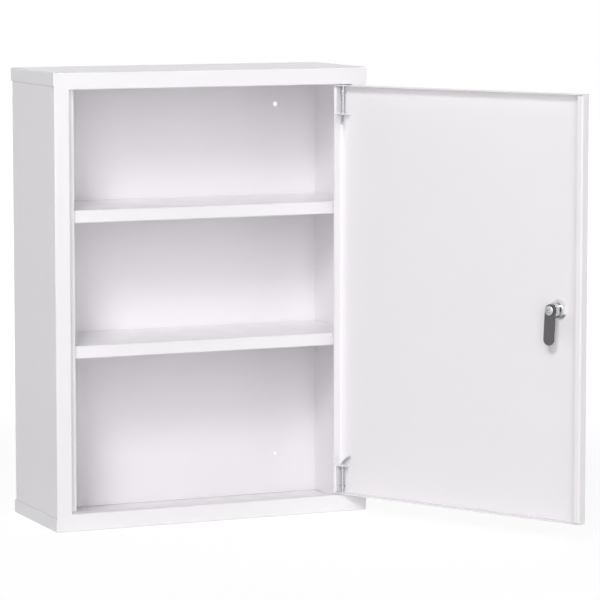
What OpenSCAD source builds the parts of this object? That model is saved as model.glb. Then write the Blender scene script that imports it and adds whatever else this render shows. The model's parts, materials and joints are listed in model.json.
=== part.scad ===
// Wall cabinet for medicines with a keyed door, in folded and welded sheet steel.
// The door hangs on two spring-loaded pins and is drawn open, against its stop.
// Origin: middle of the underside. X runs to the right, Y to the wall, Z up.

/* [Body] */
// Width over the flanges of the top and the bottom
body_w = 340; // [300:5:420]
// Height
body_h = 460; // [430:5:560]
// Depth from the front face to the wall
body_d = 130; // [110:5:180]
// Thickness of the sheet steel
sheet_t = 0.8; // [0.7:0.1:1]
// Inside radius of every fold
fold_r = 0.6; // [0.5:0.1:1]
// Height of the flanges that the top and the bottom fold over the sides and the back
flange_h = 13.5; // [10:0.5:15]

/* [Front frame] */
// Width of the upright borders
stile_w = 17; // [15:0.5:24]
// Height of the borders at the top and the bottom
rail_h = 17.5; // [16.5:0.5:24]
// Width of the stop flange that the free edge of the door closes against
stop_w = 8.4; // [7:0.2:11]
// Space between the closed door and the stop flange
stop_clear = 0.9; // [0.6:0.1:1.5]
// Depth of the turned-in edge of the top and bottom borders
rail_turn = 15; // [12:0.5:15.5]
// Free length cut off both ends of the stop flange
stop_relief = 1; // [1:0.5:6]

/* [Shelves] */
// Height of the lower shelf's top above the underside
lower_shelf_z = 185; // [150:1:190]
// Height of the upper shelf's top above the underside
upper_shelf_z = 321.5; // [290:0.5:350]
// Height of the front lip of a shelf
shelf_lip = 13; // [11:0.5:20]
// Height of the flanges at the sides and the back of a shelf
shelf_flange = 10; // [6:0.5:11]
// Depth of the edge turned in under the lip
shelf_turn = 7; // [4:0.5:12]
// Distance from the stop flange back to the shelves
shelf_setback = 2.8; // [2:0.2:10]
// Clearance between a shelf and the walls that it is welded to
shelf_clear = 0.25; // [0.2:0.05:0.4]

/* [Wall holes] */
// Diameter of the four holes in the back
wall_hole_d = 5; // [4:0.5:8]
// Distance of the holes from the sides of the body
wall_hole_side = 47.5; // [30:0.5:80]
// Distance of the holes from the top and the underside
wall_hole_end = 43.5; // [30:0.5:80]

/* [Door] */
// Angle at which the door is drawn open
door_open = 118.5; // [90:0.5:118.5]
// Depth of the folded edges of the door
door_depth = 11.5; // [11:0.25:12.5]
// Width of the lip turned in along the free edge
door_lip = 6; // [4:0.5:8]
// Distance of the lip's ends from the folds at the top and the bottom of the door
lip_relief = 0.3; // [0.2:0.1:3]
// Gap above and below the door
door_gap = 0.9; // [0.8:0.1:1.5]
// Gap beside the free edge
free_gap = 1.2; // [1:0.1:2]
// Gap beside the hinged edge
hinge_gap = 1.2; // [1.1:0.1:1.5]

/* [Hinge] */
// Distance of the hinge axis from the hinged edge of the door
hinge_inset = 6.5; // [6.3:0.1:7]
// Distance of the hinge axis behind the front face
hinge_depth = 4.5; // [4.2:0.1:4.6]
// Diameter of the hinge pins
pin_d = 3; // [2.5:0.1:3]
// Radial clearance round a pin
pin_clear = 0.08; // [0.05:0.01:0.1]
// Chamfer at both ends of a pin
pin_edge = 0.6; // [0.3:0.1:0.8]
// Length of pin that stands in the frame
pin_grip = 4.5; // [3:0.5:5.5]
// Distance that a pin is drawn back to lift the door off
pin_travel = 6.5; // [6:0.5:7]
// Thickness of the brackets
bracket_t = 1.2; // [1:0.1:1.5]
// Inside radius of a bracket's fold
bracket_fold = 1; // [0.8:0.1:1.5]
// Space between a bracket and the folded end of the door
bracket_space = 1.5; // [1:0.5:3]
// Height of a bracket along the hinged edge
bracket_h = 30; // [26:1:36]
// Length of the bracket's tab
tab_l = 13.5; // [10:0.5:16]
// Width of the bracket
bracket_w = 8.5; // [7:0.5:9]
// Outer diameter of the collar on the pin
collar_d = 6; // [5.6:0.2:6.4]
// Height of the collar
collar_h = 1.6; // [1:0.2:2.4]
// Distance of the collar below the end of the door
collar_drop = 6; // [5:0.5:8]
// Wire of the springs
spring_wire = 0.8; // [0.6:0.1:0.8]
// Middle diameter of the springs
spring_d = 4.5; // [4.4:0.1:4.6]
// Number of turns of a spring
spring_turns = 9; // [6:1:11]
// Clearance between a spring and what it bears on
spring_seat = 0.1; // [0.05:0.05:0.2]
// Length of the bent end that the pin is pulled by
tail_l = 11.6; // [8:0.2:12]
// Angle of the bend
tail_bend = 50; // [30:5:60]
// Radius of the bend at the middle of the wire
tail_bend_r = 2; // [2:0.5:4]
// Straight length of pin between the tab and the bend
tail_drop = 0.3; // [0.3:0.1:4]

/* [Lock] */
// Height of the lock above the underside
lock_z = 229; // [225:1:240]
// Distance of the lock from the free edge of the door
lock_inset = 33; // [31:0.5:34]
// Diameter of the lock's head on the outer face
lock_head_d = 19; // [17:0.5:24]
// Height of the head
lock_head_h = 2.2; // [1.5:0.1:3]
// Chamfer round the head
lock_head_edge = 0.8; // [0.4:0.1:1.2]
// Diameter of the threaded barrel
barrel_d = 13; // [12.5:0.25:14]
// Width of the barrel across its two flats
barrel_flats = 11.4; // [11.2:0.1:12.2]
// Clearance between the barrel and its hole in the door
barrel_clear = 0.1; // [0.05:0.05:0.2]
// Radial clearance between the barrel and the nut
thread_clear = 0.05; // [0.03:0.01:0.08]
// Gap between the stop flange and the cam
cam_gap = 1.6; // [0.6:0.1:2]
// Diameter of the plug's head
plug_head_d = 12; // [11:0.25:13]
// Height of the plug's head
plug_head_h = 1.2; // [0.8:0.1:1.5]
// Depth of the plug's face below the face of the head
plug_sunk = 0.4; // [0.2:0.1:0.6]
// Diameter of the plug
plug_d = 9; // [8.6:0.1:9.2]
// Radial clearance between the plug and the barrel
plug_clear = 0.05; // [0.03:0.01:0.08]
// Width of the square end of the plug
square_w = 6; // [5.6:0.1:6.2]
// Clearance on each side of the square
square_clear = 0.05; // [0.03:0.01:0.08]
// Depth of the square end below the face of the cam
square_sunk = 0.2; // [0.1:0.05:0.4]
// Thickness of the stop washer
stop_washer_t = 1.2; // [1:0.1:1.5]
// Wall of the stop washer's hub outside the plug's diameter
hub_wall = 0.5; // [0.4:0.05:0.6]
// Angle that the key turns through
turn_angle = 93; // [80:1:100]
// Angle that the stop on the barrel covers
stop_angle = 40; // [30:5:50]
// Clearance between the stop and what turns past it
stop_space = 0.1; // [0.1:0.02:0.2]
// Thickness of the cam
cam_t = 1.8; // [1.5:0.1:2.5]
// Width of the cam
cam_w = 12; // [11.5:0.5:14]
// Reach of the cam from the middle of the lock to its tip
cam_l = 34.8; // [33:0.2:37]
// Angle that the open cam leans from straight down
cam_lean = 3; // [0:1:5]
// Width of the nut across its flats
nut_w = 16; // [15.5:0.5:18]
// Thickness of the nut
nut_t = 4.5; // [3:0.5:5]
// Diameter of the washer under the nut
washer_d = 21; // [20:0.5:23]
// Thickness of the washer under the nut
washer_t = 1; // [0.8:0.1:1.5]
// Diameter of the screw head that holds the cam
screw_head_d = 9.5; // [9:0.5:11]
// Height of the screw head
screw_head_h = 2.4; // [2:0.2:3]
// Width of an arm of the cross recess
cross_w = 1.2; // [0.8:0.1:1.4]
// Length of the cross recess over two arms
cross_l = 4.8; // [4:0.2:5.4]
// Depth of the cross recess
cross_deep = 1.6; // [1.2:0.1:1.8]
// Diameter of the screw
screw_d = 4; // [3.8:0.1:4.2]
// Length of the screw in the plug
screw_l = 6; // [5:0.5:6]
// Diameter of the spring washer under the screw head
spring_washer_d = 8.6; // [8:0.2:9]
// Thickness of the spring washer
spring_washer_t = 0.8; // [0.8:0.1:1.2]
// Radial clearance between the screw and the spring washer
screw_clear = 0.3; // [0.2:0.05:0.4]
// Thickness of a wafer
wafer_t = 0.8; // [0.6:0.1:0.9]
// Distance from wafer to wafer
wafer_pitch = 1.8; // [1.6:0.1:2]
// Width of a wafer
wafer_w = 4; // [3.4:0.2:4.4]
// Clearance on each side of a wafer
wafer_clear = 0.05; // [0.03:0.01:0.08]
// Depth of the wells in the barrel that the wafers spring out into
well_d = 0.8; // [0.6:0.1:0.9]
// Clearance between a wafer and the sides of its well
well_clear = 0.15; // [0.1:0.05:0.2]
// Height of the key's window in a wafer
window_h = 3.2; // [2.8:0.1:3.4]
// Distance of a window from the middle of its wafer
window_shift = 0.5; // [0.3:0.1:0.6]
// Clearance between the key and the sides of a window
window_clear = 0.2; // [0.1:0.05:0.3]
// Width of the slot for the key
key_w = 1.4; // [1.2:0.1:1.8]
// Height of the slot for the key
key_h = 6.2; // [5:0.2:6.4]
// Depth of the slot for the key
key_l = 11; // [10:0.5:11.5]

/* [Hidden] */
$fn = 48;

paint = "#eef0f2";
zinc = "#b9bdc2";
chrome = "#d5d8dc";
dark_steel = "#47484c";
brass = "#b59a55";

half_t = sheet_t / 2;
outer_r = fold_r + sheet_t;
weld = 0.02;
past = 1;
bend_lap = 4;

front_y = -body_d / 2;
back_y = body_d / 2;
wrap_half = body_w / 2 - sheet_t;
wrap_back = back_y - sheet_t;
wrap_foot = sheet_t + fold_r;
open_half = body_w / 2 - stile_w;
stop_depth = door_depth + stop_clear;

door_w = 2 * open_half - hinge_gap - free_gap;
door_foot = rail_h + door_gap;
door_h = body_h - 2 * door_foot;
door_free_x = -open_half + free_gap;
door_hinge_x = open_half - hinge_gap;
axis_x = door_hinge_x - hinge_inset;
pin_hole_r = pin_d / 2 + pin_clear;
axis_y = front_y + hinge_depth;

hinge_wall_x = door_hinge_x - sheet_t;
tab_z = body_h - door_foot - bracket_h;
pin_tip_z = body_h - rail_h + pin_grip;
collar_z = body_h - door_foot - collar_drop - collar_h;
bend_z = tab_z - tail_drop;

lock_x = door_free_x + lock_inset;
cam_z = stop_depth + sheet_t + cam_gap;
barrel_l = cam_z - stop_washer_t;
plug_face = plug_sunk - lock_head_h;
cam_top = cam_z + cam_t;
first_wafer = 2.2;
wafers = 4;
stop_play = 1;
well_run = 0.6;
screw_end = 1;

shelf_front = front_y + stop_depth + sheet_t + shelf_setback;

function direction(a, b) = (b - a) / norm(b - a);
function normal(d) = [-d[1], d[0]];

// Hole from Z = 0 up to a height, cut past both faces.
module bore(height, r) {
    translate([0, 0, -past]) cylinder(h = height + 2 * past, r = r);
}

// ---- Folded sheet -------------------------------------------------------

// Cross-section of a sheet folded at right angles along a path through its middle.
module folded_strip(path, t = sheet_t, r = fold_r) {
    mid_r = r + t / 2;
    last = len(path) - 1;
    for (i = [0 : last - 1]) {
        d = direction(path[i], path[i + 1]);
        a = path[i] + d * (i > 0 ? mid_r : 0);
        b = path[i + 1] - d * (i < last - 1 ? mid_r : 0);
        s = normal(d) * t / 2;
        polygon([a - s, b - s, b + s, a + s]);
    }
    for (i = [1 : last - 1]) {
        u = direction(path[i - 1], path[i]);
        v = direction(path[i], path[i + 1]);
        reach = r + t;
        middle = path[i] + (v - u) * mid_r;
        intersection() {
            translate(middle) difference() {
                circle(r = reach);
                circle(r = r);
            }
            polygon([middle, middle + u * reach, middle + (u - v) * reach, middle - v * reach]);
        }
    }
}

// Rectangle below the X axis with its two upper corners rounded.
module arch(w, h, r) {
    translate([-w / 2 + r, -h]) square([w - 2 * r, h]);
    translate([-w / 2, -h]) square([w, h - r]);
    for (side = [-1, 1]) translate([side * (w / 2 - r), -r]) circle(r = r);
}

// Block whose upper edges are rounded, from Y = 0 to d, hanging below Z = 0.
module lid_block(w, d, h, r) {
    intersection() {
        translate([0, d, 0]) rotate([90, 0, 0]) linear_extrude(d) arch(w, h, r);
        translate([-w / 2, d / 2, 0]) rotate([90, 0, 90]) linear_extrude(w) arch(d, h, r);
    }
}

// Sheet with all four edges folded down.
module lid(w, d, h) {
    difference() {
        lid_block(w, d, h, outer_r);
        translate([0, sheet_t, -sheet_t]) lid_block(w - 2 * sheet_t, d - 2 * sheet_t, h, fold_r);
    }
}

// Lid whose front edge reaches further down and is turned in at the bottom.
module tray(w, d, flange, front, turn, turn_half, front_half) {
    lid(w, d, flange);
    translate([-front_half, 0, -front]) cube([front_half - turn_half, sheet_t, front - flange + fold_r]);
    translate([turn_half, 0, -front]) cube([front_half - turn_half, sheet_t, front - flange + fold_r]);
    translate([-turn_half, 0, 0]) rotate([90, 0, 90]) linear_extrude(2 * turn_half)
        folded_strip([[half_t, -flange + fold_r], [half_t, -front + half_t], [turn, -front + half_t]]);
}

// ---- Places -------------------------------------------------------------

// Turns what is drawn on the closed door to the open door.
module on_door() {
    translate([axis_x, axis_y, 0]) rotate([0, 0, door_open]) translate([-axis_x, -axis_y, 0]) children();
}

// Repeats the upper hinge at the lower end of the door.
module at_lower_end() {
    translate([0, 0, body_h]) mirror([0, 0, 1]) children();
}

module on_hinge_axis() {
    translate([axis_x, axis_y, 0]) children();
}

// Puts the lock's axis through the door: Z runs from the outer face inwards and Y down.
module on_lock_axis() {
    on_door() translate([lock_x, front_y, lock_z]) rotate([-90, 0, 0]) children();
}

// ---- Body ---------------------------------------------------------------

// Back, sides and upright borders, folded from one sheet.
module wrap() {
    stop_y = front_y + stop_depth + half_t;
    turn_x = open_half + half_t;
    side_x = wrap_half - half_t;
    face_y = front_y + half_t;
    rear_y = wrap_back - half_t;
    path = [[-open_half + stop_w, stop_y], [-turn_x, stop_y], [-turn_x, face_y], [-side_x, face_y],
            [-side_x, rear_y], [side_x, rear_y], [side_x, face_y], [turn_x, face_y], [turn_x, stop_y]];
    inner_half = wrap_half - sheet_t;
    cut_d = past + stop_depth + 2 * sheet_t;
    color(paint) difference() {
        translate([0, 0, wrap_foot]) linear_extrude(body_h - 2 * wrap_foot) folded_strip(path);
        for (z = [0, body_h - rail_h]) {
            translate([-inner_half, front_y - past, z]) cube([2 * inner_half, cut_d, rail_h]);
            translate([-body_w / 2, front_y - past, z]) cube([body_w, past + sheet_t, rail_h]);
        }
        for (z = [rail_h, body_h - rail_h - stop_relief]) {
            translate([-open_half + fold_r, front_y + stop_depth - fold_r, z])
                cube([stop_w, 2 * sheet_t + fold_r, stop_relief]);
        }
        for (x = [-1, 1] * (body_w / 2 - wall_hole_side), z = [wall_hole_end, body_h - wall_hole_end]) {
            translate([x, back_y, z]) rotate([90, 0, 0]) bore(2 * sheet_t, wall_hole_d / 2);
        }
    }
}

// Hole for a hinge pin in the turned-in edge of a border.
module frame_pin_hole() {
    on_hinge_axis() translate([0, 0, body_h - rail_h]) bore(sheet_t, pin_hole_r);
}

module upper_body_tray() {
    difference() {
        translate([0, front_y, body_h])
            tray(body_w, body_d, flange_h, rail_h, rail_turn, open_half + sheet_t, wrap_half);
        frame_pin_hole();
    }
}

module top_tray() {
    color(paint) upper_body_tray();
}

module bottom_tray() {
    color(paint) at_lower_end() upper_body_tray();
}

module shelf(z) {
    half = wrap_half - sheet_t - shelf_clear;
    depth = wrap_back - sheet_t - shelf_clear - shelf_front;
    color(paint) translate([0, shelf_front, z])
        tray(2 * half, depth, shelf_flange, shelf_lip, shelf_turn, half - outer_r, half);
}

module upper_shelf() {
    shelf(upper_shelf_z);
}

module lower_shelf() {
    shelf(lower_shelf_z);
}

// ---- Door ---------------------------------------------------------------

module barrel_form(length, extra = 0) {
    intersection() {
        cylinder(h = length, d = barrel_d + 2 * extra);
        translate([-barrel_flats / 2 - extra, -barrel_d, 0])
            cube([barrel_flats + 2 * extra, 2 * barrel_d, length]);
    }
}

// Door drawn closed: a lid on edge, with a lip along the free edge.
module closed_door() {
    lip_y = front_y + door_depth;
    lip_foot = door_foot + outer_r + lip_relief;
    lip_h = door_h - 2 * (outer_r + lip_relief);
    middle_x = (door_free_x + door_hinge_x) / 2;
    difference() {
        translate([middle_x, front_y, door_foot]) rotate([90, 0, 0]) lid(door_w, door_h, door_depth);
        translate([door_free_x - past, lip_y - outer_r, lip_foot])
            cube([past + outer_r, outer_r + past, lip_h]);
    }
    translate([0, 0, lip_foot]) linear_extrude(lip_h)
        folded_strip([[door_free_x + half_t, lip_y - outer_r - 1], [door_free_x + half_t, lip_y - half_t],
                      [door_free_x + door_lip, lip_y - half_t]]);
}

module door_panel() {
    color(paint) on_door() difference() {
        closed_door();
        on_hinge_axis() translate([0, 0, door_foot]) bore(door_h, pin_hole_r);
        translate([lock_x, front_y - past, lock_z]) rotate([-90, 0, 0])
            barrel_form(sheet_t + 2 * past, barrel_clear);
    }
}

// ---- Hinges -------------------------------------------------------------

// Angle bracket on the hinged edge, with a hole for the pin in its tab.
module hinge_bracket() {
    plate_x = hinge_wall_x - bracket_t / 2;
    tab_mid = tab_z + bracket_t / 2;
    difference() {
        translate([0, front_y + sheet_t + fold_r + bracket_w, 0]) rotate([90, 0, 0])
            linear_extrude(bracket_w)
                folded_strip([[plate_x, tab_z + bracket_h - sheet_t - bracket_space], [plate_x, tab_mid],
                              [hinge_wall_x - tab_l, tab_mid]], bracket_t, bracket_fold);
        on_hinge_axis() translate([0, 0, tab_z]) bore(bracket_t, pin_hole_r);
    }
}

module upper_hinge_bracket() {
    color(paint) on_door() hinge_bracket();
}

module lower_hinge_bracket() {
    color(paint) on_door() at_lower_end() hinge_bracket();
}

// Round wire from Z = 0 up, with a chamfer at its upper end.
module wire_end(length) {
    cylinder(h = length - pin_edge, d = pin_d);
    translate([0, 0, length - pin_edge]) cylinder(h = pin_edge, d1 = pin_d, d2 = pin_d - 2 * pin_edge);
}

// Pin with a bent tail to pull it by; in the bend the wire is drawn a little thinner.
module hinge_pin(tail_side) {
    tail_x = tail_bend_r * (cos(tail_bend) - 1);
    tail_z = -tail_bend_r * sin(tail_bend);
    on_hinge_axis() translate([0, 0, bend_z]) {
        wire_end(pin_tip_z - bend_z);
        rotate([0, 0, tail_side]) {
            translate([-tail_bend_r, 0, 0]) rotate([-90, 0, 0]) rotate([0, 0, -bend_lap])
                rotate_extrude(angle = tail_bend + 2 * bend_lap)
                    translate([tail_bend_r, 0]) circle(d = pin_d - 4 * weld);
            translate([tail_x, 0, tail_z]) rotate([0, tail_bend + 180, 0]) wire_end(tail_l);
        }
    }
}

module upper_hinge_pin() {
    color(zinc) on_door() hinge_pin(-60);
}

module lower_hinge_pin() {
    color(zinc) on_door() at_lower_end() hinge_pin(0);
}

// Ring pressed on the pin, which the spring pushes against.
module pin_collar() {
    on_hinge_axis() translate([0, 0, collar_z]) difference() {
        cylinder(h = collar_h, d = collar_d);
        bore(collar_h, (pin_d + weld) / 2);
    }
}

module upper_pin_collar() {
    color(zinc) on_door() pin_collar();
}

module lower_pin_collar() {
    color(zinc) on_door() at_lower_end() pin_collar();
}

// Height of a spring's wire after a number of turns, with a dead turn at both ends.
function coil_height(turn, turns, length, wire) =
    let (dead = wire * 1.2, live = (length - wire - 2 * dead) / (turns - 2))
    wire / 2 + (turn < 1 ? dead * turn : turn > turns - 1 ? length - wire - dead * (turns - turn)
        : dead + live * (turn - 1));

module coil_spring(length, middle_d, wire, turns) {
    steps = 16;
    sides = 8;
    rings = turns * steps;
    points = [for (i = [0 : rings], k = [0 : sides - 1])
        let (a = 360 * i / steps, b = 360 * k / sides, r = middle_d / 2 + wire / 2 * cos(b))
        [r * cos(a), r * sin(a), coil_height(i / steps, turns, length, wire) + wire / 2 * sin(b)]];
    skin = [for (i = [0 : rings - 1], k = [0 : sides - 1])
        let (next = (k + 1) % sides)
        [i * sides + k, i * sides + next, (i + 1) * sides + next, (i + 1) * sides + k]];
    ends = [[for (k = [sides - 1 : -1 : 0]) k], [for (k = [0 : sides - 1]) rings * sides + k]];
    polyhedron(points = points, faces = concat(skin, ends), convexity = 10);
}

module hinge_spring() {
    foot = tab_z + bracket_t + spring_seat;
    on_hinge_axis() translate([0, 0, foot])
        coil_spring(collar_z - spring_seat - foot, spring_d, spring_wire, spring_turns);
}

module upper_hinge_spring() {
    color(zinc) on_door() hinge_spring();
}

module lower_hinge_spring() {
    color(zinc) on_door() at_lower_end() hinge_spring();
}

// ---- Lock ---------------------------------------------------------------

// Wedge of a turn, from the Y axis clockwise as seen from the inner side.
module wedge(start, sweep, radius, length) {
    rotate([0, 0, start]) rotate_extrude(angle = sweep) square([radius, length]);
}

// Head, barrel with two flats, and the stop that stands on the barrel's inner end.
module lock_housing() {
    stop_inner = plug_d / 2 + hub_wall + stop_space;
    well_w = wafer_w + 2 * well_clear;
    color(chrome) on_lock_axis() difference() {
        union() {
            translate([0, 0, -lock_head_h])
                cylinder(h = lock_head_edge, d1 = lock_head_d - 2 * lock_head_edge, d2 = lock_head_d);
            translate([0, 0, lock_head_edge - lock_head_h])
                cylinder(h = lock_head_h - lock_head_edge, d = lock_head_d);
            barrel_form(barrel_l);
            intersection() {
                barrel_form(barrel_l + stop_washer_t - 2 * stop_space);
                translate([0, 0, barrel_l - past])
                    wedge(-90 - stop_angle / 2, stop_angle, barrel_d, stop_washer_t + past);
            }
        }
        translate([0, 0, plug_face]) bore(cam_z - plug_face, plug_d / 2 + plug_clear);
        translate([0, 0, plug_face - past])
            cylinder(h = plug_head_h + past, r = plug_head_d / 2 + plug_clear);
        translate([0, 0, barrel_l]) cylinder(h = stop_washer_t + past, r = stop_inner);
        translate([-well_w / 2, -plug_d / 2 - well_d, first_wafer - well_run])
            cube([well_w, plug_d + 2 * well_d, wafers * wafer_pitch + well_run]);
    }
}

module lock_washer() {
    color(zinc) on_lock_axis() translate([0, 0, sheet_t]) difference() {
        cylinder(h = washer_t, d = washer_d);
        bore(washer_t, barrel_d / 2 + barrel_clear);
    }
}

module lock_nut() {
    color(chrome) on_lock_axis() translate([0, 0, sheet_t + washer_t]) difference() {
        intersection() {
            rotate([0, 0, 30]) cylinder(h = nut_t, d = nut_w / cos(30), $fn = 6);
            cylinder(h = nut_t, d1 = nut_w + 2 * nut_t, d2 = nut_w);
        }
        bore(nut_t, barrel_d / 2 + thread_clear);
    }
}

module wafer_slot(i) {
    translate([-wafer_w / 2 - wafer_clear, -plug_d, first_wafer + i * wafer_pitch])
        cube([wafer_w + 2 * wafer_clear, 2 * plug_d, wafer_t + 2 * wafer_clear]);
}

// Turning core with the key slot, the wafer slots and a square end for the cam.
module lock_plug() {
    color(brass) on_lock_axis() rotate([0, 0, -cam_lean]) difference() {
        union() {
            translate([0, 0, plug_face]) cylinder(h = plug_head_h, d = plug_head_d);
            translate([0, 0, plug_face]) cylinder(h = barrel_l - plug_face, d = plug_d);
            translate([-square_w / 2, -square_w / 2, barrel_l - past])
                cube([square_w, square_w, cam_top - square_sunk - barrel_l + past]);
        }
        translate([-key_w / 2, -key_h / 2, plug_face - past]) cube([key_w, key_h, key_l + past]);
        for (i = [0 : wafers - 1]) wafer_slot(i);
        translate([0, 0, cam_top - screw_l - screw_end]) cylinder(h = screw_l + 2 * screw_end, d = screw_d);
    }
}

module square_hole(height) {
    side = square_w + 2 * square_clear;
    translate([-side / 2, -side / 2, -past]) cube([side, side, height + 2 * past]);
}

// Washer turned by the plug; the ends of its gap strike the stop on the barrel.
module stop_washer() {
    gap = turn_angle + stop_angle + 2 * stop_play;
    first = cam_lean - 90 - stop_play - stop_angle / 2 - turn_angle;
    color(zinc) on_lock_axis() rotate([0, 0, -cam_lean]) translate([0, 0, barrel_l]) difference() {
        cylinder(h = stop_washer_t, d = barrel_d);
        difference() {
            translate([0, 0, -past]) wedge(first, gap, barrel_d, stop_washer_t + 2 * past);
            translate([0, 0, -past]) bore(stop_washer_t + 2 * past, plug_d / 2 + hub_wall);
        }
        square_hole(stop_washer_t);
    }
}

// Flat arm with round ends that swings behind the stop flange.
module lock_cam() {
    color(dark_steel) on_lock_axis() rotate([0, 0, -cam_lean]) translate([0, 0, cam_z]) difference() {
        union() {
            cylinder(h = cam_t, d = cam_w);
            translate([-cam_w / 2, 0, 0]) cube([cam_w, cam_l - cam_w / 2, cam_t]);
            translate([0, cam_l - cam_w / 2, 0]) cylinder(h = cam_t, d = cam_w);
        }
        square_hole(cam_t);
    }
}

module cam_washer() {
    color(zinc) on_lock_axis() translate([0, 0, cam_top]) difference() {
        cylinder(h = spring_washer_t, d = spring_washer_d);
        bore(spring_washer_t, screw_d / 2 + screw_clear);
    }
}

// Pan-head screw with a cross recess.
module cam_screw() {
    shank_l = spring_washer_t + screw_l;
    rise = screw_head_h / 2;
    dome_r = (pow(screw_head_d / 2, 2) + pow(rise, 2)) / (2 * rise);
    color(chrome) on_lock_axis() rotate([0, 0, -cam_lean])
        translate([0, 0, cam_top + spring_washer_t]) difference() {
            union() {
                translate([0, 0, -shank_l]) cylinder(h = shank_l, d = screw_d - weld);
                intersection() {
                    cylinder(h = screw_head_h, d = screw_head_d);
                    translate([0, 0, screw_head_h - dome_r]) sphere(r = dome_r);
                }
            }
            for (a = [45, 135]) rotate([0, 0, a])
                translate([-cross_w / 2, -cross_l / 2, screw_head_h - cross_deep])
                    cube([cross_w, cross_l, cross_deep + past]);
        }
}

// Brass plate with a window for the key, drawn in level with the plug.
module wafer(i) {
    window_w = key_w + 2 * window_clear;
    reach = sqrt(pow(plug_d / 2, 2) - pow(wafer_w / 2, 2)) - wafer_clear;
    shift = (i % 2 == 0 ? 1 : -1) * window_shift;
    color(brass) on_lock_axis() rotate([0, 0, -cam_lean])
        translate([0, 0, first_wafer + i * wafer_pitch + wafer_clear]) difference() {
            translate([-wafer_w / 2, -reach, 0]) cube([wafer_w, 2 * reach, wafer_t]);
            translate([-window_w / 2, shift - window_h / 2, -past])
                cube([window_w, window_h, wafer_t + 2 * past]);
        }
}

module wafer_1() { wafer(0); }
module wafer_2() { wafer(1); }
module wafer_3() { wafer(2); }
module wafer_4() { wafer(3); }

// ---- Drawing ------------------------------------------------------------

wrap();
top_tray();
bottom_tray();
upper_shelf();
lower_shelf();
door_panel();
upper_hinge_bracket();
lower_hinge_bracket();
upper_hinge_pin();
lower_hinge_pin();
upper_pin_collar();
lower_pin_collar();
upper_hinge_spring();
lower_hinge_spring();
lock_housing();
lock_washer();
lock_nut();
lock_plug();
stop_washer();
lock_cam();
cam_washer();
cam_screw();
wafer_1();
wafer_2();
wafer_3();
wafer_4();
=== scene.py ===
# A small wall cabinet for medicines: folded sheet steel with a white powder coat, drawn with its door open.
import json
import math

import bmesh
import bpy
from mathutils import Matrix, Vector


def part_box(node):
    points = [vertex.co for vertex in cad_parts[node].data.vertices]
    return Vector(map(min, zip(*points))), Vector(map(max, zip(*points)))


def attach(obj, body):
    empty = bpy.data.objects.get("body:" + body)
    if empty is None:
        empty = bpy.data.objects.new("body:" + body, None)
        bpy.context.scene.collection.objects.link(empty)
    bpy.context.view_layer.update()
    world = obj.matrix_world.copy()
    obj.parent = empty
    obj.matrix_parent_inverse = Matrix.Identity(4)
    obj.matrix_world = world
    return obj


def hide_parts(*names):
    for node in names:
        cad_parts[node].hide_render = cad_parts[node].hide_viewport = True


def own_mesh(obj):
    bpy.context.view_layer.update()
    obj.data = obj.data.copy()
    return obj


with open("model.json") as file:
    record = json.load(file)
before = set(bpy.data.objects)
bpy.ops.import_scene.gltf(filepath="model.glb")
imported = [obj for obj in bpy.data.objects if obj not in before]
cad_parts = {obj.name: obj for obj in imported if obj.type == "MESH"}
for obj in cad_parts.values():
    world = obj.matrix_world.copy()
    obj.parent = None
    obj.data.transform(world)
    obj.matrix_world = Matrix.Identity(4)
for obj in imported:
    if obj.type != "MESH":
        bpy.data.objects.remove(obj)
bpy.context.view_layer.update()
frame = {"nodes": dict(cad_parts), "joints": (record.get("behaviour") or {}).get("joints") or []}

mm = 0.001
nodes = frame["nodes"]
scene = bpy.context.scene


# ---- Camera --------------------------------------------------------------
# Stands to the left of the cabinet and a little above it, far enough off for a long lens.

camera_place = Vector((-1.2652, -3.1927, 0.6077))
camera_turn = math.radians(23.507)
camera_dip = math.radians(6.44)
camera_lens = 201.1

camera_data = bpy.data.cameras.new("camera")
camera_data.lens = camera_lens
camera = bpy.data.objects.new("camera", camera_data)
camera.location = camera_place
camera.rotation_euler = (math.pi / 2 - camera_dip, 0, -camera_turn)
scene.collection.objects.link(camera)
scene.camera = camera
scene.view_settings.view_transform = "Standard"


# ---- Studio --------------------------------------------------------------
# Pale floor and sky. A key lamp at the upper left and a broad one beside the camera do most of the lighting,
# and weaker ones fill in from ahead, from the sides and from behind.
# What looks at the floor and the sky, or mirrors them, sees them white, with a faint shadow at the cabinet.

floor_half = 6.0
floor_gap = 0.3 * mm
floor_colour = (0.86, 0.86, 0.86, 1)
floor_roughness = 0.9
floor_glow = 1.09
shadow_depth = 0.18
shadow_reach = (0.5, 1.4)
white = (1, 1, 1, 1)
sky_colour = (1.0, 0.965, 1.0, 1)
sky_light = 0.075

floor_mesh = bpy.data.meshes.new("floor")
floor_form = bmesh.new()
bmesh.ops.create_grid(floor_form, x_segments=1, y_segments=1, size=floor_half)
bmesh.ops.translate(floor_form, vec=(0, 0, -floor_gap), verts=floor_form.verts)
floor_form.to_mesh(floor_mesh)
floor_form.free()
floor = bpy.data.objects.new("floor", floor_mesh)
scene.collection.objects.link(floor)


class Socket:
    """One output of a shader node. Each operator on it adds a Math node beside it."""

    def __init__(self, shading, output):
        self.shading = shading
        self.output = output

    def maths(self, operation, *values):
        return self.shading.node("ShaderNodeMath", {"operation": operation}, dict(enumerate(values)))[0]

    def __add__(self, other):
        return self.maths("ADD", self, other)

    def __sub__(self, other):
        return self.maths("SUBTRACT", self, other)

    def __rsub__(self, other):
        return self.maths("SUBTRACT", other, self)

    def __mul__(self, other):
        return self.maths("MULTIPLY", self, other)

    def __pow__(self, other):
        return self.maths("POWER", self, other)

    def __or__(self, other):
        return self.maths("MAXIMUM", self, other)

    def __gt__(self, other):
        return self.maths("GREATER_THAN", self, other)

    def __abs__(self):
        return self.maths("ABSOLUTE", self)

    __radd__ = __add__
    __rmul__ = __mul__


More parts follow.
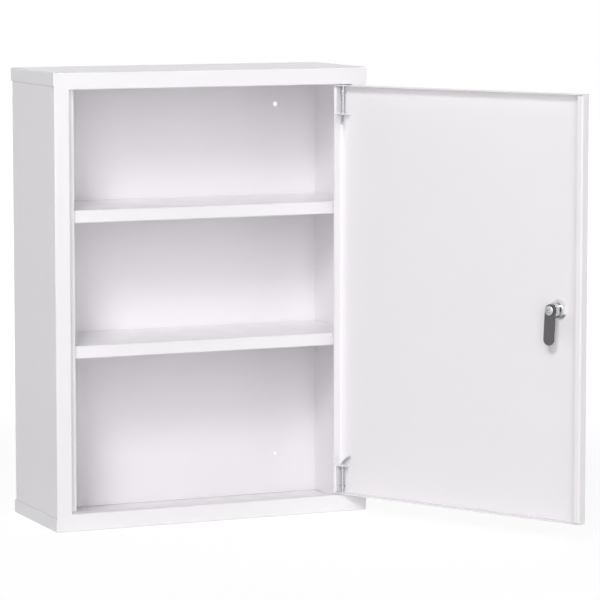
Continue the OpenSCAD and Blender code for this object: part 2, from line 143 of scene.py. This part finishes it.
class Shading:
    """The nodes of one material or world."""

    def __init__(self, tree):
        self.tree = tree

    def node(self, kind, settings=None, sockets=None):
        """Adds a node, its settings before the values or links of its sockets.

        Returns its outputs, by number and by name.
        """
        node = self.tree.nodes.new(kind)
        for name, value in (settings or {}).items():
            setattr(node, name, value)
        for name, value in (sockets or {}).items():
            self.connect(node.inputs[name], value)
        return {key: Socket(self, output) for number, output in enumerate(node.outputs)
                for key in (number, output.name)}

    def connect(self, target, value):
        if isinstance(value, Socket):
            self.tree.links.new(value.output, target)
        else:
            target.default_value = value


class Finish(Shading):
    """A material, and what varies it over a surface."""

    def __init__(self, name, **sockets):
        self.material = bpy.data.materials.new(name)
        self.material.use_nodes = True
        super().__init__(self.material.node_tree)
        self.shader = self.tree.nodes["Principled BSDF"]
        self.set(**sockets)

    def set(self, **sockets):
        """Gives the shader's sockets a value or a link each."""
        for name, value in sockets.items():
            self.connect(self.shader.inputs[name.replace("_", " ")], value)

    def place(self):
        """Where a point lies on the cabinet, in metres: the vector, and its three parts."""
        vector = self.node("ShaderNodeTexCoord")["Object"]
        parts = self.node("ShaderNodeSeparateXYZ", None, {"Vector": vector})
        return vector, parts["X"], parts["Y"], parts["Z"]

    def noise(self, vector, grains_per_metre, detail):
        return self.node("ShaderNodeTexNoise", None, {
            "Vector": vector, "Scale": grains_per_metre, "Detail": detail})[0]

    def blend(self, factor, first, second):
        """Colour between first and second, by the Mix node's sockets for colours."""
        return self.node("ShaderNodeMix", {"data_type": "RGBA"}, {"Factor": factor, 6: first, 7: second})[2]

    def spread(self, value, low, high, to_low, to_high):
        """Takes low to high on to to_low to to_high, and stays level beyond them."""
        return self.node("ShaderNodeMapRange", None, {
            "Value": value, "From Min": low, "From Max": high, "To Min": to_low, "To Max": to_high})[0]

    def bump(self, height, distance, under=None):
        """The normal where a height between 0 and 1 lifts the surface by distance, over the normal under it."""
        sockets = {"Height": height, "Distance": distance}
        if under:
            sockets["Normal"] = under
        return self.node("ShaderNodeBump", None, sockets)[0]


def looked_at(shading):
    """1 for rays that show a surface straight on, in a mirror or through glass, and 0 for those that only
    light by it."""
    path = shading.node("ShaderNodeLightPath")
    return path["Is Camera Ray"] | path["Is Glossy Ray"] | path["Is Transmission Ray"]


floor_finish = Finish("floor", Base_Color=floor_colour, Roughness=floor_roughness)
floor_x, floor_y = floor_finish.place()[1:3]
shaded = floor_finish.spread((floor_x ** 2 + floor_y ** 2) ** 0.5, *shadow_reach, shadow_depth, 0.0)
floor_surface = floor_finish.node("ShaderNodeMixShader", None, {
    0: looked_at(floor_finish) * (1 - shaded),
    1: Socket(floor_finish, floor_finish.shader.outputs[0]),
    2: floor_finish.node("ShaderNodeEmission", None, {"Color": white, "Strength": floor_glow})[0]})[0]
floor_finish.connect(floor_finish.tree.nodes["Material Output"].inputs["Surface"], floor_surface)
floor_mesh.materials.append(floor_finish.material)

world = bpy.data.worlds.new("studio")
world.use_nodes = True
scene.world = world
sky = Shading(world.node_tree)
backdrop = sky.tree.nodes["Background"]
backdrop.inputs["Color"].default_value = white
sky_surface = sky.node("ShaderNodeMixShader", None, {
    0: looked_at(sky),
    1: sky.node("ShaderNodeBackground", None, {"Color": sky_colour, "Strength": sky_light})[0],
    2: Socket(sky, backdrop.outputs[0])})[0]
sky.connect(sky.tree.nodes["World Output"].inputs["Surface"], sky_surface)

cabinet_middle = Vector((0, 0, 0.25))


def soft_lamp(name, turn, height, distance, size, power):
    """A square lamp that looks at the cabinet from a turn, clockwise of its front as seen from above."""
    data = bpy.data.lights.new(name, "AREA")
    data.size = size
    data.energy = power
    lamp = bpy.data.objects.new(name, data)
    turn, height = math.radians(turn), math.radians(height)
    way = Vector((-math.sin(turn) * math.cos(height), -math.cos(turn) * math.cos(height), math.sin(height)))
    lamp.location = cabinet_middle + way * distance
    lamp.rotation_euler = way.to_track_quat("Z", "Y").to_euler()
    scene.collection.objects.link(lamp)


# The last three stand where neither the walls nor the folds round the top mirror them to the camera.
soft_lamp("key_lamp", turn=34, height=34, distance=4.5, size=1.0, power=66)
soft_lamp("front_lamp", turn=22, height=12, distance=5.0, size=3.0, power=78)
soft_lamp("fill_lamp", turn=5, height=25, distance=4.0, size=4.0, power=24)
soft_lamp("side_lamp", turn=-60, height=8, distance=4.0, size=2.0, power=26)
soft_lamp("left_lamp", turn=118, height=15, distance=4.0, size=1.5, power=9)
soft_lamp("right_lamp", turn=-118, height=15, distance=4.0, size=1.5, power=13)
soft_lamp("rear_lamp", turn=180, height=7, distance=4.0, size=1.2, power=28)


# ---- Body: back, sides and borders, top and bottom ------------------------
# Folded from 0.8 mm steel, spot welded where the flanges lap, and powder coated after that.
# The coat rounds the cut edges and has the faint orange peel of a sprayed and baked powder.

coat_pale = (0.952, 0.930, 0.957, 1)
coat_dull = (0.944, 0.922, 0.949, 1)
coat_roughness = (0.17, 0.21)
coat_edge = 0.22 * mm
cloud_grains = 24
buckle_grains = 9
buckle_depth = 0.15 * mm
peel_grains = 1 / (0.9 * mm)
peel_depth = 0.01 * mm
middling = (0.3, 0.7)


def powdered(coat, vector, marks_and_shade, mark_and_shade_colour, dents, dent_depth):
    """Lays the powder over a sheet that buckles a little, with marks in the coat's colour and dents under it:
    jig marks on the door, painted shade along the flange laps on the body.
    """
    cloud = coat.noise(vector, cloud_grains, detail=3)
    buckled = coat.bump(coat.noise(vector, buckle_grains, detail=1), buckle_depth)
    dented = coat.bump(dents, -dent_depth, under=buckled)
    coat.set(
        Base_Color=coat.blend(marks_and_shade, coat.blend(cloud, coat_dull, coat_pale), mark_and_shade_colour),
        Roughness=coat.spread(cloud, *middling, *coat_roughness),
        Normal=coat.bump(coat.noise(vector, peel_grains, detail=2), peel_depth, under=dented))
    return coat.material


wrap_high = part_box("wrap")[1]
skin = 0.3 * mm
wall_outside = wrap_high.x - skin
back_outside = wrap_high.y - skin
flange = 13.5 * mm
lower_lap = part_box("bottom_tray")[0].z + flange
upper_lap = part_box("top_tray")[1].z - flange
seam_middle = (lower_lap + upper_lap) / 2
seam_width = 1.1 * mm
seam_slack = 0.02 * mm
# Painted shade: a dark grey laid into the coat along the edge of each flange that laps the walls, stronger
# under the upper flange than over the lower one.
seam_shade_grey = (0.30, 0.29, 0.30, 1)
upper_seam_shade = 0.5
lower_seam_shade = 0.22


def lap_shade(coat, place, foot):
    """1 on the body's walls along the edge of a flange that laps them: where painted shade goes into the coat's
    colour.
    """
    x, y, z = place[1:]
    outside = (abs(x) > wall_outside) | (y > back_outside)
    past_edge = (z - foot) * (-1 if foot > seam_middle else 1)
    return coat.spread(past_edge, 0.0, seam_width, 1.0, 0.0) * (past_edge > -seam_slack) * outside


weld_pitch = 56 * mm
weld_floor = 1.92 * mm
weld_rim = 3 * mm
weld_depth = 0.15 * mm
lower_weld = lower_lap - flange / 2
upper_weld = upper_lap + flange / 2


def weld_dimples(coat, place, height):
    """Shallow round marks in a row along a flange on the back, one for each spot weld."""
    x, y, z = place[1:]
    along = x.maths("PINGPONG", x, weld_pitch / 2)
    off_weld = (along ** 2 + (z - height) ** 2) ** 0.5
    return coat.spread(off_weld, weld_floor, weld_rim, 1.0, 0.0) * (y > back_outside)


def body_coat():
    coat = Finish("powder_coat")
    place = coat.place()
    # The bands along the laps are painted shade in the coat's colour.
    painted_seam_shade = (lap_shade(coat, place, upper_lap) * upper_seam_shade
             + lap_shade(coat, place, lower_lap) * lower_seam_shade)
    welds = weld_dimples(coat, place, upper_weld) + weld_dimples(coat, place, lower_weld)
    return powdered(coat, place[0], painted_seam_shade, seam_shade_grey, welds, weld_depth)


def stand_for(piece, node, body):
    """Takes a node's place in the scene, on the node's own body."""
    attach(piece, body)
    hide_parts(node)


def piece_from(form, name, material, smooth=True):
    """Makes a finished piece of a form."""
    mesh = bpy.data.meshes.new(name)
    form.to_mesh(mesh)
    form.free()
    for face in mesh.polygons:
        face.use_smooth = smooth
    mesh.materials.append(material)
    piece = bpy.data.objects.new(name, mesh)
    scene.collection.objects.link(piece)
    return piece


same_point = 0.002 * mm
same_plane = math.radians(0.5)
sharp_turn = math.radians(35)


def merged_form(node):
    """A node's mesh without the cuts across its flat faces."""
    form = bmesh.new()
    form.from_mesh(nodes[node].data)
    bmesh.ops.remove_doubles(form, verts=form.verts, dist=same_point)
    bmesh.ops.dissolve_limit(form, angle_limit=same_plane, verts=form.verts, edges=form.edges)
    return form


def is_sharp(edge):
    return len(edge.link_faces) == 2 and edge.calc_face_angle() > sharp_turn


def even_shading(piece):
    """Flat faces stay flat, and the narrow faces along the edges shade round between them."""
    shading = piece.modifiers.new("even_shading", "WEIGHTED_NORMAL")
    shading.weight = 100
    shading.keep_sharp = True


def rounded(node, name, material, edge=coat_edge, keep=None):
    """A copy of a node with its sharp edges rounded, apart from those that keep picks."""
    form = merged_form(node)
    edges = [e for e in form.edges if is_sharp(e) and not (keep and keep(e))]
    bmesh.ops.bevel(form, geom=edges, offset=edge, offset_type="OFFSET", segments=2, profile=0.5,
                    affect="EDGES", clamp_overlap=True, material=-1)
    piece = piece_from(form, name, material)
    even_shading(piece)
    return piece


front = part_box("wrap")[0].y
butt_heights = (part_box("bottom_tray")[1].z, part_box("top_tray")[0].z)
butt_depth = 1.0 * mm
butt_slack = 0.05 * mm


def ground_flush(edge):
    """The butt joints of the front borders, which are filled and ground before the coat."""
    return all(v.co.y < front + butt_depth and min(abs(v.co.z - h) for h in butt_heights) < butt_slack
               for v in edge.verts)


white_coat = body_coat()
for sheet in ("wrap", "top_tray", "bottom_tray"):
    stand_for(rounded(sheet, sheet + "_sheet", white_coat, keep=ground_flush), sheet, "carcass")


# ---- Shelves --------------------------------------------------------------
# Two fixed trays of the same steel, with the edge of the front lip turned in. They are spot welded to the
# sides and the back by their flanges, and coated along with the body.

for shelf in ("upper_shelf", "lower_shelf"):
    stand_for(rounded(shelf, shelf + "_sheet", white_coat), shelf, "carcass")


# ---- Door -----------------------------------------------------------------
# A folded pan with its free edge turned in, and the two brackets for the hinge pins welded in it.
# The welding jig left a round mark in the hinged flange beside each bracket, which shows through the coat.

def joint(name):
    return next(found for found in frame["joints"] if found["name"] == name)


hinge_line = Vector(joint("door_hinge")["pos_m"])
door_angle = math.radians(118.5)
mark_on_flange = Vector((5.7, 1.5, 0)) * mm
mark_middle = hinge_line + Matrix.Rotation(door_angle, 3, "Z") @ mark_on_flange
mark_heights = (54 * mm, 406 * mm)
mark_radius = 2.5 * mm
mark_width = 0.8 * mm
mark_depth = 0.12 * mm
mark_grey = (0.80, 0.785, 0.80, 1)


def door_coat():
    coat = Finish("door_coat")
    vector, x, y, z = coat.place()
    marks = 0
    for height in mark_heights:
        away = ((x - mark_middle.x) ** 2 + (y - mark_middle.y) ** 2 + (z - height) ** 2) ** 0.5
        marks = marks + coat.spread(abs(away - mark_radius), 0.0, mark_width, 1.0, 0.0)
    return powdered(coat, vector, marks, mark_grey, marks, mark_depth)


stand_for(rounded("door_panel", "door_sheet", door_coat()), "door_panel", "door")
for bracket in ("upper_hinge_bracket", "lower_hinge_bracket"):
    stand_for(rounded(bracket, bracket + "_sheet", white_coat), bracket, "door")


# ---- Hinge pins -----------------------------------------------------------
# The door swings on two pins of drawn steel wire, each with a bent end to pull it back by. An open-wound
# spring between the bracket and a pressed-on collar drives each pin into the body.

def metal(name, colour, metallic, grains, roughness, brighter=None, span=middling, detail=3, depth=0.0):
    """A metal with a fine grain in its roughness, and in its colour or surface where it has a brighter
    colour or a depth."""
    plate = Finish(name, Base_Color=colour, Metallic=metallic)
    grain = plate.noise(plate.place()[0], grains, detail)
    plate.set(Roughness=plate.spread(grain, *span, *roughness))
    if brighter:
        plate.set(Base_Color=plate.blend(grain, colour, brighter))
    if depth:
        plate.set(Normal=plate.bump(grain, depth))
    return plate.material


zinc = metal("zinc_plate", (0.49, 0.495, 0.51, 1), metallic=0.85, grains=1400, roughness=(0.26, 0.42),
             brighter=(0.56, 0.565, 0.58, 1), depth=0.01 * mm)
bright_wire = metal("bright_wire", (0.66, 0.665, 0.68, 1), metallic=0.85, grains=1400, roughness=(0.26, 0.42),
                    brighter=(0.74, 0.745, 0.76, 1), depth=0.01 * mm)
pin_edge = 0.12 * mm
for end in ("upper", "lower"):
    for part in ("hinge_pin", "pin_collar"):
        stand_for(rounded(f"{end}_{part}", f"{end}_{part}_wire", zinc, edge=pin_edge), f"{end}_{part}",
                  f"{end}_pin")

spring_wire = 0.8 * mm
spring_turns = 9
closed_pitch = 1.2 * spring_wire
wire_sides = 12
turn_steps = 40


def wound_spring(end):
    """A helix spun up the pin from a round of wire: a closed turn, the open turns, and a closed turn."""
    low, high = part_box(f"{end}_hinge_spring")
    middle = (low + high) / 2
    radius = (high.x - low.x - spring_wire) / 2
    open_turns = spring_turns - 2
    open_pitch = (high.z - low.z - spring_wire - 2 * closed_pitch) / open_turns
    form = bmesh.new()
    ring = bmesh.ops.create_circle(form, cap_ends=False, segments=wire_sides, radius=spring_wire / 2)["verts"]
    bmesh.ops.rotate(form, verts=ring, cent=(0, 0, 0), matrix=Matrix.Rotation(math.pi / 2, 3, "X"))
    bmesh.ops.translate(form, verts=ring, vec=(middle.x + radius, middle.y, low.z + spring_wire / 2))
    bmesh.ops.contextual_create(form, geom=form.edges[:])
    tip = list({e for v in ring for e in v.link_edges})
    for turns, pitch in ((1, closed_pitch), (open_turns, open_pitch), (1, closed_pitch)):
        made = bmesh.ops.spin(form, geom=tip, cent=(middle.x, middle.y, 0), axis=(0, 0, 1),
                              dvec=(0, 0, pitch / turn_steps), angle=turns * math.tau,
                              steps=turns * turn_steps, use_merge=False, use_duplicate=False)
        tip = [g for g in made["geom_last"] if isinstance(g, bmesh.types.BMEdge)]
    bmesh.ops.contextual_create(form, geom=tip)
    bmesh.ops.recalc_face_normals(form, faces=form.faces)
    return form


for end in ("upper", "lower"):
    spring = piece_from(wound_spring(end), f"{end}_spring_coil", bright_wire)
    stand_for(spring, f"{end}_hinge_spring", "door")
    slide = joint(f"{end}_pin_slide")
    low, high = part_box(f"{end}_hinge_spring")
    held_end = high if slide["axis"][2] > 0 else low
    1 - slide["range_m"][1] / (high.z - low.z)
    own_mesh(spring)


# ---- Lock -----------------------------------------------------------------
# A wafer cam lock: chromed housing held by a nut and a washer, a nickelled plug with stamped brass wafers,
# and a dark steel cam.

chrome = metal("chrome_plate", (0.62, 0.625, 0.63, 1), metallic=1.0, grains=600, roughness=(0.08, 0.18),
               span=(0.35, 0.65))
dark_steel = metal("dark_plate", (0.125, 0.12, 0.127, 1), metallic=0.5, grains=1800, roughness=(0.42, 0.6),
                   detail=2, depth=0.008 * mm)
tin = metal("tin_plate", (0.76, 0.76, 0.77, 1), metallic=0.8, grains=900, roughness=(0.3, 0.44),
            brighter=(0.84, 0.84, 0.85, 1))
brass = metal("stamped_brass", (0.60, 0.45, 0.18, 1), metallic=1.0, grains=1500, roughness=(0.3, 0.45),
              detail=2)

for part, body, material, slot, edge in (
        ("lock_housing", "door", chrome, "chrome", 0.15), ("lock_washer", "door", tin, "zinc", 0.15),
        ("lock_nut", "door", chrome, "chrome", 0.25), ("lock_plug", "lock", chrome, "plug_metal", 0.08),
        ("stop_washer", "lock", zinc, "zinc", 0.12), ("lock_cam", "lock", dark_steel, "dark_steel", 0.25),
        ("cam_washer", "lock", zinc, "zinc", 0.1), ("cam_screw", "lock", zinc, "chrome", 0.15)):
    stand_for(rounded(part, part + "_metal", material, edge=edge * mm), part, body)

for wafer in ("wafer_1", "wafer_2", "wafer_3", "wafer_4"):
    nodes[wafer].data.materials.clear()
    nodes[wafer].data.materials.append(brass)

lock_turn = joint("lock_turn")
lock_axis = Vector(lock_turn["axis"])
down = Vector((0, 0, -1))
lock_directions = Matrix((down.cross(lock_axis), down, lock_axis)).transposed().to_4x4()
lock_place = Matrix.Translation(lock_turn["pos_m"]) @ lock_directions
thread_pitch = 1.0 * mm
thread_half = 0.48 * thread_pitch
thread_root = 6.4 * mm
thread_crest = 6.75 * mm
thread_start = 6.4 * mm
thread_turns = 6
barrel_flat = 5.69 * mm


def barrel_thread():
    """The rolled thread that the nut runs on: one ridge wound round the barrel and cut off at its two flats."""
    form = bmesh.new()
    corners = [(thread_root, -thread_half), (thread_crest, 0), (thread_root, thread_half)]
    ridge = form.faces.new([form.verts.new((radius, 0, thread_start + thread_half + rise))
                            for radius, rise in corners])
    bmesh.ops.spin(form, geom=[ridge, *ridge.edges, *ridge.verts], cent=(0, 0, 0), axis=(0, 0, 1),
                   dvec=(0, 0, thread_pitch / turn_steps), angle=thread_turns * math.tau,
                   steps=thread_turns * turn_steps, use_merge=False, use_duplicate=False)
    for side in (-1, 1):
        parts = form.verts[:] + form.edges[:] + form.faces[:]
        cut = bmesh.ops.bisect_plane(form, geom=parts, plane_co=(side * barrel_flat, 0, 0),
                                     plane_no=(side, 0, 0), clear_outer=True)["geom_cut"]
        bmesh.ops.edgeloop_fill(form, edges=[part for part in cut if isinstance(part, bmesh.types.BMEdge)])
    bmesh.ops.recalc_face_normals(form, faces=form.faces)
    bmesh.ops.transform(form, matrix=lock_place, verts=form.verts)
    return form


thread = piece_from(barrel_thread(), "barrel_thread", chrome, smooth=False)
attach(thread, "door")
